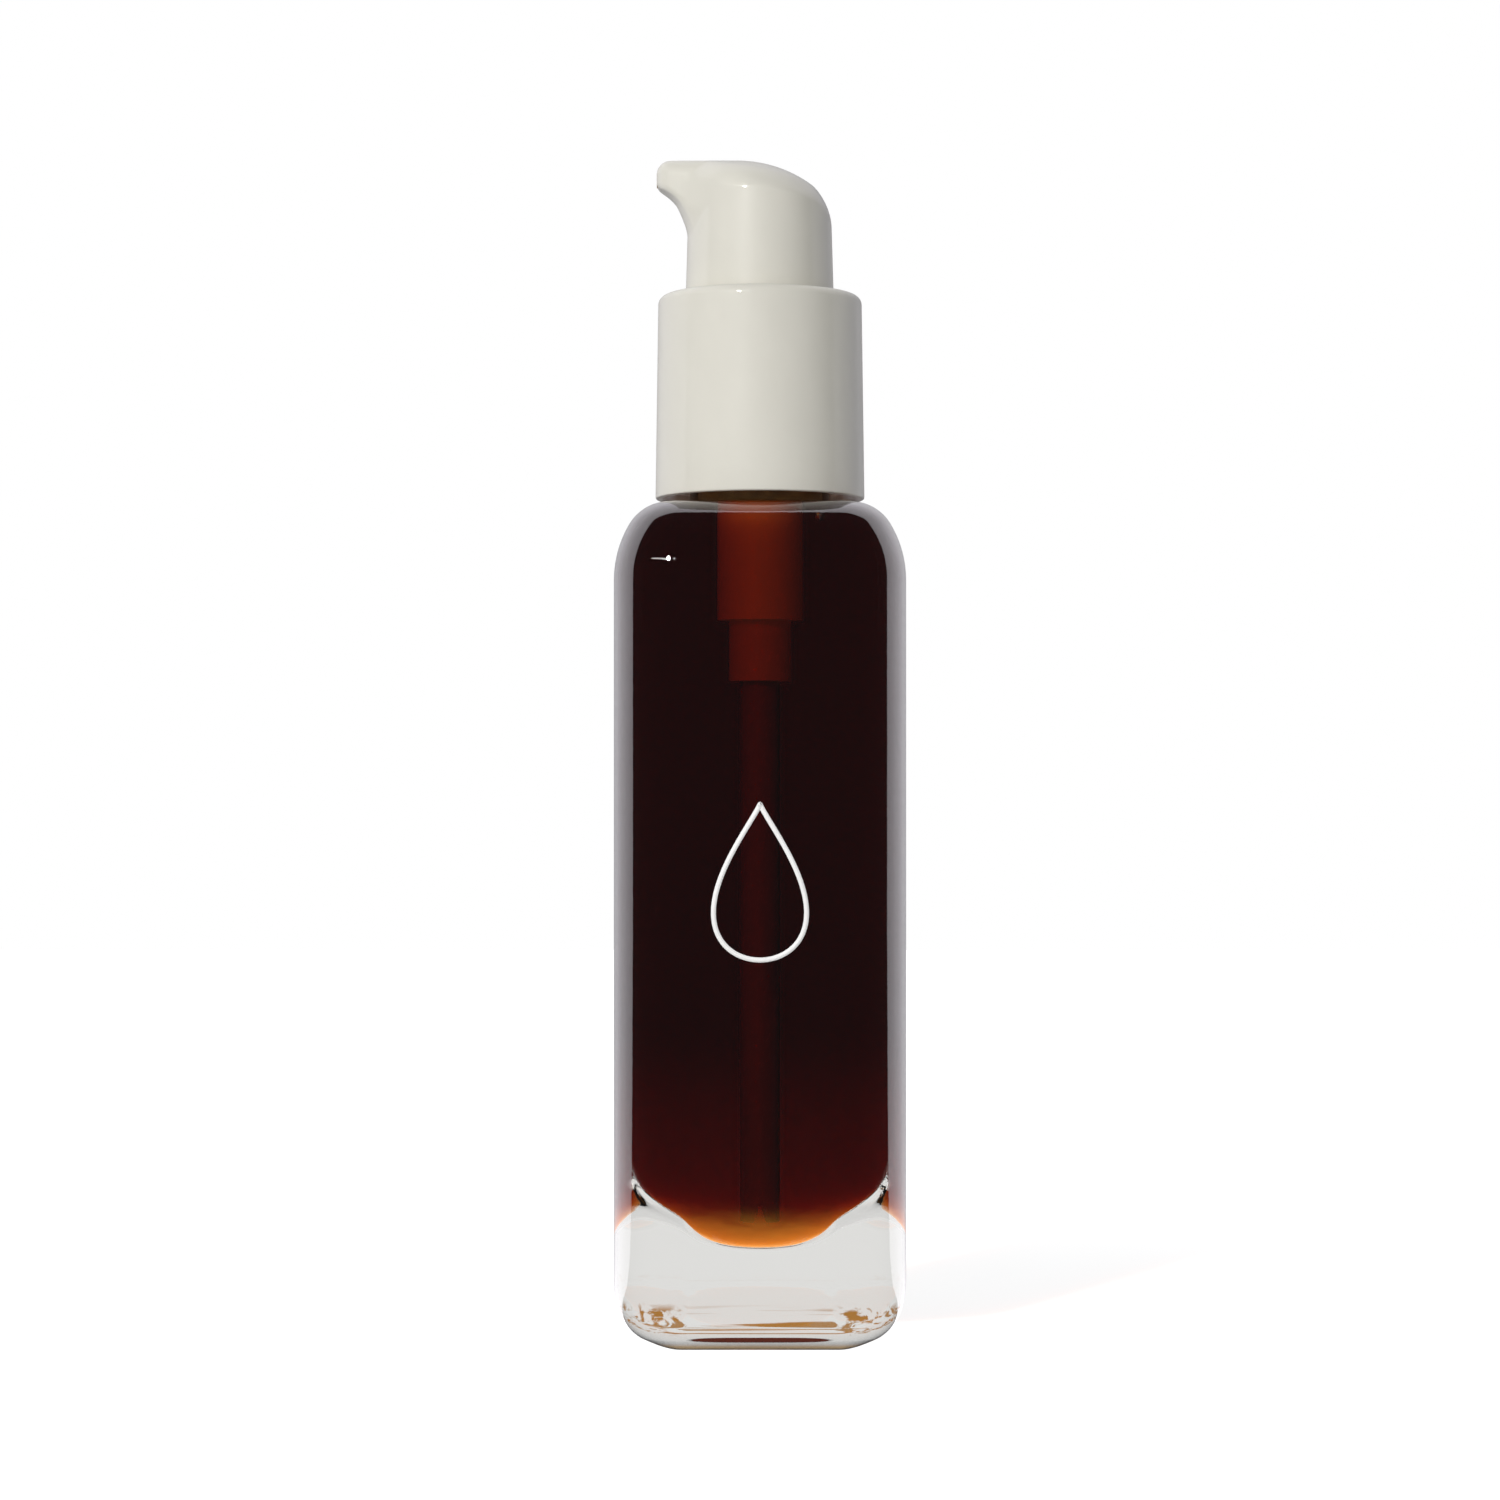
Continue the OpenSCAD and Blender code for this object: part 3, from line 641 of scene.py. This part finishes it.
def clear(name, ior, tint, coat=0.0):
    m, nt, b, out = shader(name, tint, 0.0, IOR=ior, Transmission_Weight=1.0, Coat_Weight=coat,
                           Coat_IOR=1.5, Coat_Roughness=0.0)
    see_through(nt, b)
    return m, nt, b, out


# Painted refraction on the heel, by height: a brown line painted for the oil seen refracted through
# the heel, and under it an amber rim painted for the oil's light refracted down into the glass. They
# go round all four sides.
CLEAR = (0.985, 0.985, 0.975, 1)
LENS_Z, LENS_HALF_H, LENS_HALF_W, PAINTED_RIM_H = 1.57, 0.36, 8.1, 2.0
glass_mat, nt, b, _ = clear("clear_glass", 1.52, CLEAR, coat=1.0)
relief(nt, b, [(noise(nt, 9.0, 1.0, stretch=(1, 1, 0.45)), 0.012), (noise(nt, 2.6, 2.0), 0.0025)])
x, y, z = split(nt, turned(nt, "ABSOLUTE", coords(nt))["Vector"])
along = calc(nt, "POWER", calc(nt, "DIVIDE", calc(nt, "MINIMUM", x, y), LENS_HALF_W * MM), 4.0)
above = calc(nt, "DIVIDE", calc(nt, "SUBTRACT", z, LENS_Z * MM), LENS_HALF_H * MM)
# lens: the painted brown line of refracted oil, multiplied into the glass's base colour
lens = ramp(nt, calc(nt, "MULTIPLY_ADD", above, above, along), (0.02, 0.0006, 0.0001, 1), CLEAR,
            0.7, 1.05)
# painted amber light low on the heel, for the oil's light refracted into the glass
painted_amber_rim = ramp(nt, spread(nt, z, 0.0, 1.0, 0.0, PAINTED_RIM_H * MM), (1.0, 0.52, 0.17, 1), (1, 1, 1, 1), 0.3, 0.55)
tint = add(nt, "ShaderNodeMix", data_type="RGBA", blend_type="MULTIPLY")
tint.inputs[0].default_value = 1.0
nt.links.new(lens, tint.inputs[6])
nt.links.new(painted_amber_rim, tint.inputs[7])
nt.links.new(tint.outputs[2], b.inputs["Base Color"])
wet_mat, nt, b, _ = clear("glass_against_oil", 1.034, (1, 1, 1, 1))
relief(nt, b, [(noise(nt, 5.0, 2.0), 0.06)])
glass.data.materials.append(glass_mat)
glass.data.materials.append(wet_mat)
# Painted shade: a dark, mottled tint on the glass of the neck's bore, standing for the shade under the
# collar
neck_shade_mat, nt, b, _ = clear("glass_with_painted_neck_shade", 1.034, (1, 1, 1, 1))
neck_shade_noise = noise(nt, 1.8, 3.0)
nt.links.new(ramp(nt, neck_shade_noise, (0.03, 0.014, 0.003, 1), (0.09, 0.045, 0.012, 1)), b.inputs["Base Color"])
glass.data.materials.append(neck_shade_mat)
# wet faces above the shoulder take the painted neck shade (slot 2), the lower wet faces take
# glass_against_oil (slot 1)
first_wet = wet_from * RING_N
last_hub = len(glass.data.vertices) - 1
for p in glass.data.polygons:
    vs = [v for v in p.vertices if v != last_hub]
    if min(vs) >= first_wet and max(vs) < len(g_rings) * RING_N:
        p.material_index = 2 if p.center.z > (SHOULDER_Z - 0.6) * MM else 1

oil_mat, nt, b, out = clear("massage_oil", 1.0, (1, 1, 1, 1))
absorb(nt, out, (0.130, 0.33, 0.60))
# amber glow low in the bowl, standing for the light that the real one gathers from the table
GLOW_LOW, GLOW_HIGH, GLOW_STIR = 11.2, 17.6, 2.4
stir = calc(nt, "MULTIPLY_ADD", noise(nt, 4.0, 3.0, stretch=(0.5, 0.5, 2.0), distort=0.8),
            GLOW_STIR * MM, split(nt, coords(nt))["Z"])
b.inputs["Emission Color"].default_value = (0.50, 0.21, 0.02, 1)
nt.links.new(between(nt, stir, GLOW_LOW * MM, GLOW_HIGH * MM, 0.9, 0.0), b.inputs["Emission Strength"])
oil.data.materials.append(oil_mat)
air_mat, nt, b, _ = clear("air_in_oil", 0.75, (1, 1, 1, 1))
relief(nt, b, [(noise(nt, 0.6, 1.0), 0.004)])


def moulded(name, color, rough, vary=4, coat=0.0, grain=0.6, depth=0.0012, **more):
    """Injection-moulded plastic: faint clouding, uneven gloss, soft sink waves and fine texture."""
    dark = srgb(*(v - vary for v in color))
    m, nt, b, _ = shader(name, srgb(*color), rough, Coat_Weight=coat, Coat_Roughness=0.06, **more)
    cloud = noise(nt, 7.0, 3.0, stretch=(1, 1, 0.5))
    nt.links.new(ramp(nt, cloud, dark, srgb(*color)), b.inputs["Base Color"])
    fine = noise(nt, grain, 4.0, 0.6)
    nt.links.new(spread(nt, fine, rough - 0.05, rough + 0.05), b.inputs["Roughness"])
    relief(nt, b, [(noise(nt, 6.0, 1.0, stretch=(1, 1, 0.35)), 0.004), (fine, depth)])
    return m


def wire_steel(name, color, rough, stretch, depth):
    m, nt, b, _ = shader(name, srgb(*color), rough, Metallic=1.0)
    lines = noise(nt, 0.25, 4.0, 0.7, stretch=stretch)
    nt.links.new(ramp(nt, lines, srgb(*(v - 26 for v in color)), srgb(*color)), b.inputs["Base Color"])
    nt.links.new(spread(nt, lines, rough - 0.08, rough + 0.12), b.inputs["Roughness"])
    relief(nt, b, [(lines, depth)])
    return m


SHELL = (224, 222, 213)
shell_mat = moulded("shell_plastic", SHELL, 0.42, coat=0.40, IOR=1.46, Specular_IOR_Level=0.2)
closure_mat = moulded("closure_plastic", SHELL, 0.5, depth=0.003)
# the pump's plastics get a faint warm painted glow (emission), which brightens them where they are
# seen through the oil
engine_mat_with_glow = moulded("engine_plastic", (232, 230, 222), 0.46, vary=6, depth=0.003,
                     Emission_Color=(1, 0.7, 0.5, 1), Emission_Strength=0.05)
tube_mat = moulded("tube_plastic", (222, 219, 205), 0.38, vary=8, Transmission_Weight=0.35)
# the print's white ink gets a painted glow (emission 0.2), which keeps its thin lines bright
ink_mat_with_glow = moulded("white_ink", (236, 236, 236), 0.5, vary=8, grain=0.15,
                   Emission_Color=(1, 1, 1, 1), Emission_Strength=0.2)
piston_mat = moulded("piston_plastic", (236, 234, 226), 0.55, vary=5)
insert_mat = moulded("insert_plastic", (204, 184, 150), 0.42, vary=9, depth=0.002)
ball_mat = wire_steel("ball_steel", (205, 208, 213), 0.12, (1, 1, 1), 0.0006)
spring_mat = wire_steel("spring_steel", (188, 190, 196), 0.26, (0.3, 0.3, 2.5), 0.003)

foam_mat, nt, b, _ = shader("gasket_foam", srgb(236, 235, 229), 0.85, Sheen_Weight=0.2)
cells = add(nt, "ShaderNodeTexVoronoi", Scale=1 / (0.22 * MM))
nt.links.new(coords(nt), cells.inputs["Vector"])
nt.links.new(ramp(nt, cells.outputs["Distance"], srgb(218, 216, 208), srgb(238, 237, 232), 0.05, 0.5),
             b.inputs["Base Color"])
relief(nt, b, [(cells.outputs["Distance"], 0.03)])

LOOKS = {"screw_closure": closure_mat, "neck_gasket": foam_mat, "pump_housing": engine_mat_with_glow,
         "housing_cap": engine_mat_with_glow, "dip_tube": tube_mat, "inlet_ball": ball_mat,
         "return_spring": spring_mat, "piston": piston_mat, "piston_rod": engine_mat_with_glow,
         "pump_stem": engine_mat_with_glow, "nozzle_insert": insert_mat}
for name, ob in nodes.items():
    ob.data.materials.clear()
    ob.data.materials.append(LOOKS.get(name, shell_mat))
actuator.data.materials.append(shell_mat)
spring.data.materials.clear()
spring.data.materials.append(spring_mat)
collar.data.materials.append(shell_mat)
drop.data.materials.append(ink_mat_with_glow)
closure_thread.data.materials.append(closure_mat)
bubble.data.materials.append(air_mat)


# ---------------------------------------------------------------- stage, light, camera
def pick(nt, lp, camera, transmission, reflection, diffuse):
    """One shader for each kind of ray: a refracted ray counts as transmission, not reflection."""
    last = diffuse
    for ray, sh in (("Is Glossy Ray", reflection), ("Is Transmission Ray", transmission),
                    ("Is Camera Ray", camera)):
        mix = add(nt, "ShaderNodeMixShader")
        nt.links.new(lp.outputs[ray], mix.inputs[0])
        nt.links.new(last.outputs[0], mix.inputs[1])
        nt.links.new(sh.outputs[0], mix.inputs[2])
        last = mix
    return last


def glow(nt, kind, strength, color=(1, 1, 1, 1)):
    n = add(nt, kind, Color=color)
    if isinstance(strength, float):
        n.inputs["Strength"].default_value = strength
    else:
        nt.links.new(strength, n.inputs["Strength"])
    return n


def both(nt, a, b):
    n = add(nt, "ShaderNodeAddShader")
    nt.links.new(a.outputs[0], n.inputs[0])
    nt.links.new(b.outputs[0], n.inputs[1])
    return n


def cards(nt, kind, toward):
    """What reflections see: dark in front, white cards beside and behind."""
    r = add(nt, "ShaderNodeValToRGB")
    for i, (at, v) in enumerate(((0.0, 0.05), (0.03, 1.5), (0.2, 1.5), (0.4, 1.55), (0.62, 1.4),
                                 (0.8, 1.1), (0.91, 0.75), (1.0, 0.35))):
        e = r.color_ramp.elements.new(at) if i > 1 else r.color_ramp.elements[i]
        e.position, e.color = at, (v * 0.97, v * 0.95, v, 1)
    nt.links.new(toward, r.inputs["Fac"])
    n = add(nt, kind)
    nt.links.new(r.outputs["Color"], n.inputs["Color"])
    return n


# Each kind of ray sees its own studio. The camera sees white. Refracted rays see pale paper, an
# amber patch with torn edges low in the world, and the dark sheet round the body. Reflected rays
# see the cards. Only the floor's paper and the world's fill light what is matt.
EM, BG = "ShaderNodeEmission", "ShaderNodeBackground"
PAPER = (1.0, 0.995, 0.98, 1)
THROUGH, BEHIND = 0.80, 0.23                  # brightness of the paper and of the dark sheet
SHEET_R, SHEET_LOW, SHEET_HIGH = 0.024, 0.013, 0.105

bpy.ops.mesh.primitive_plane_add(size=4)
floor = bpy.context.object
floor.name = "floor"
fm = bpy.data.materials.new("pale_floor")
nt = tree_of(fm)
out = add(nt, "ShaderNodeOutputMaterial")
lp = add(nt, "ShaderNodeLightPath")
here = coords(nt)
far = turned(nt, "LENGTH", here)["Value"]
paper = add(nt, "ShaderNodeBsdfDiffuse", Color=(0.62, 0.62, 0.62, 1))
seen = both(nt, paper, glow(nt, EM, between(nt, far, 0.06, 0.3, 0.78, 1.0)))
through = glow(nt, EM, THROUGH, PAPER)
mirrored = cards(nt, EM, split(nt, turned(nt, "NORMALIZE", here)["Vector"])["Y"])
nt.links.new(pick(nt, lp, seen, through, mirrored, paper).outputs[0], out.inputs["Surface"])
floor.data.materials.append(fm)

world = bpy.data.worlds.new("studio")
scene.world = world
nt = tree_of(world)
out = add(nt, "ShaderNodeOutputWorld")
lp = add(nt, "ShaderNodeLightPath")
toward = coords(nt, "Generated")
x, y, z = split(nt, toward)
mirror = cards(nt, BG, y)
level = calc(nt, "ADD", between(nt, x, -0.7, 0.8, 0.36, 0.12), between(nt, y, 0.4, 0.95, 0.0, 0.45))
fill = glow(nt, BG, level, (0.97, 0.98, 1.0, 1))
low = calc(nt, "MULTIPLY", between(nt, z, 0.08, 0.16, 0.0, 1.0), between(nt, z, 0.30, 0.45, 1.0, 0.0))
drift = add(nt, "ShaderNodeMapping", Scale=(1.0, 1.0, 3.0))
nt.links.new(toward, drift.inputs["Vector"])
torn = add(nt, "ShaderNodeTexNoise", Scale=5.0, Detail=4.0, Roughness=0.65, Distortion=1.2)
nt.links.new(drift.outputs[0], torn.inputs["Vector"])
amber = calc(nt, "MULTIPLY", low, between(nt, torn.outputs["Fac"], 0.48, 0.62, 0.0, 1.0))
beyond = glow(nt, BG, THROUGH)
nt.links.new(ramp(nt, amber, PAPER, (0.50, 0.24, 0.06, 1), 0.05, 0.8), beyond.inputs["Color"])
sky = pick(nt, lp, glow(nt, BG, 1.0), beyond, mirror, fill)
nt.links.new(sky.outputs[0], out.inputs["Surface"])

# Painted shade for refracted rays: the dark sheet round the body is seen only through the glass, where
# it darkens the glass's sides; other rays pass through it
bpy.ops.mesh.primitive_cylinder_add(vertices=96, radius=SHEET_R, depth=SHEET_HIGH - SHEET_LOW,
                                    location=(0, 0, (SHEET_LOW + SHEET_HIGH) / 2),
                                    end_fill_type="NOTHING")
sheet = bpy.context.object
sheet.name = "dark_sheet"
sm = bpy.data.materials.new("dark_sheet")
nt = tree_of(sm)
out = add(nt, "ShaderNodeOutputMaterial")
lp = add(nt, "ShaderNodeLightPath")
z = split(nt, coords(nt))["Z"]
dim = calc(nt, "ADD", between(nt, z, -0.042, -0.024, THROUGH, BEHIND),
           between(nt, z, 0.040, 0.046, 0.0, THROUGH - BEHIND))
air = add(nt, "ShaderNodeBsdfTransparent")
sheet_look = pick(nt, lp, air, glow(nt, EM, dim, PAPER), air, air)
nt.links.new(sheet_look.outputs[0], out.inputs["Surface"])
sheet.data.materials.append(sm)


def lamp(name, azimuth, distance, height, aim_z, size, power, color, size_y=None):
    """An area lamp; azimuth 0 is in front of the object and 90 on its left."""
    light = bpy.data.lights.new(name, "AREA")
    light.energy, light.color, light.size = power, color, size * MM
    if size_y:
        light.shape, light.size_y = "RECTANGLE", size_y * MM
    ob = bpy.data.objects.new(name, light)
    scene.collection.objects.link(ob)
    a = math.radians(azimuth)
    at = Vector((-math.sin(a), -math.cos(a), 0)) * distance + Vector((0, 0, height))
    ob.location = at * MM
    ob.rotation_euler = (Vector((0, 0, aim_z)) - at).to_track_quat("-Z", "Y").to_euler()
    return ob


lamp("strip", 40, 900, 430, 90, 420, 0.25, (1.0, 0.97, 0.93), size_y=14)
lamp("spark", 13, 900, 440, 90, 16, 0.12, (1.0, 0.98, 0.95))
lamp("key", 24, 900, 440, 90, 45, 5.8, (1.0, 0.985, 0.955), size_y=70)

CAM_H, CAM_D = 53.3, 450.0
F_OVER_D = 8.96                               # pixels per millimetre at the axis
HORIZON_ROW, AXIS_COL = 862.5, 760.0
cam_data = bpy.data.cameras.new("camera")
cam = bpy.data.objects.new("camera", cam_data)
scene.collection.objects.link(cam)
scene.camera = cam
cam_data.sensor_fit = "HORIZONTAL"
cam_data.sensor_width = 36.0
cam_data.lens = F_OVER_D * CAM_D * 36.0 / 1500.0
cam.location = Vector((0, -CAM_D, CAM_H)) * MM
cam.rotation_euler = (math.radians(90), 0, 0)
cam_data.shift_x = (750 - AXIS_COL) / 1500.0
cam_data.shift_y = (HORIZON_ROW - 750) / 1500.0
cam_data.clip_start, cam_data.clip_end = 0.01, 20

scene.view_settings.view_transform = "Standard"
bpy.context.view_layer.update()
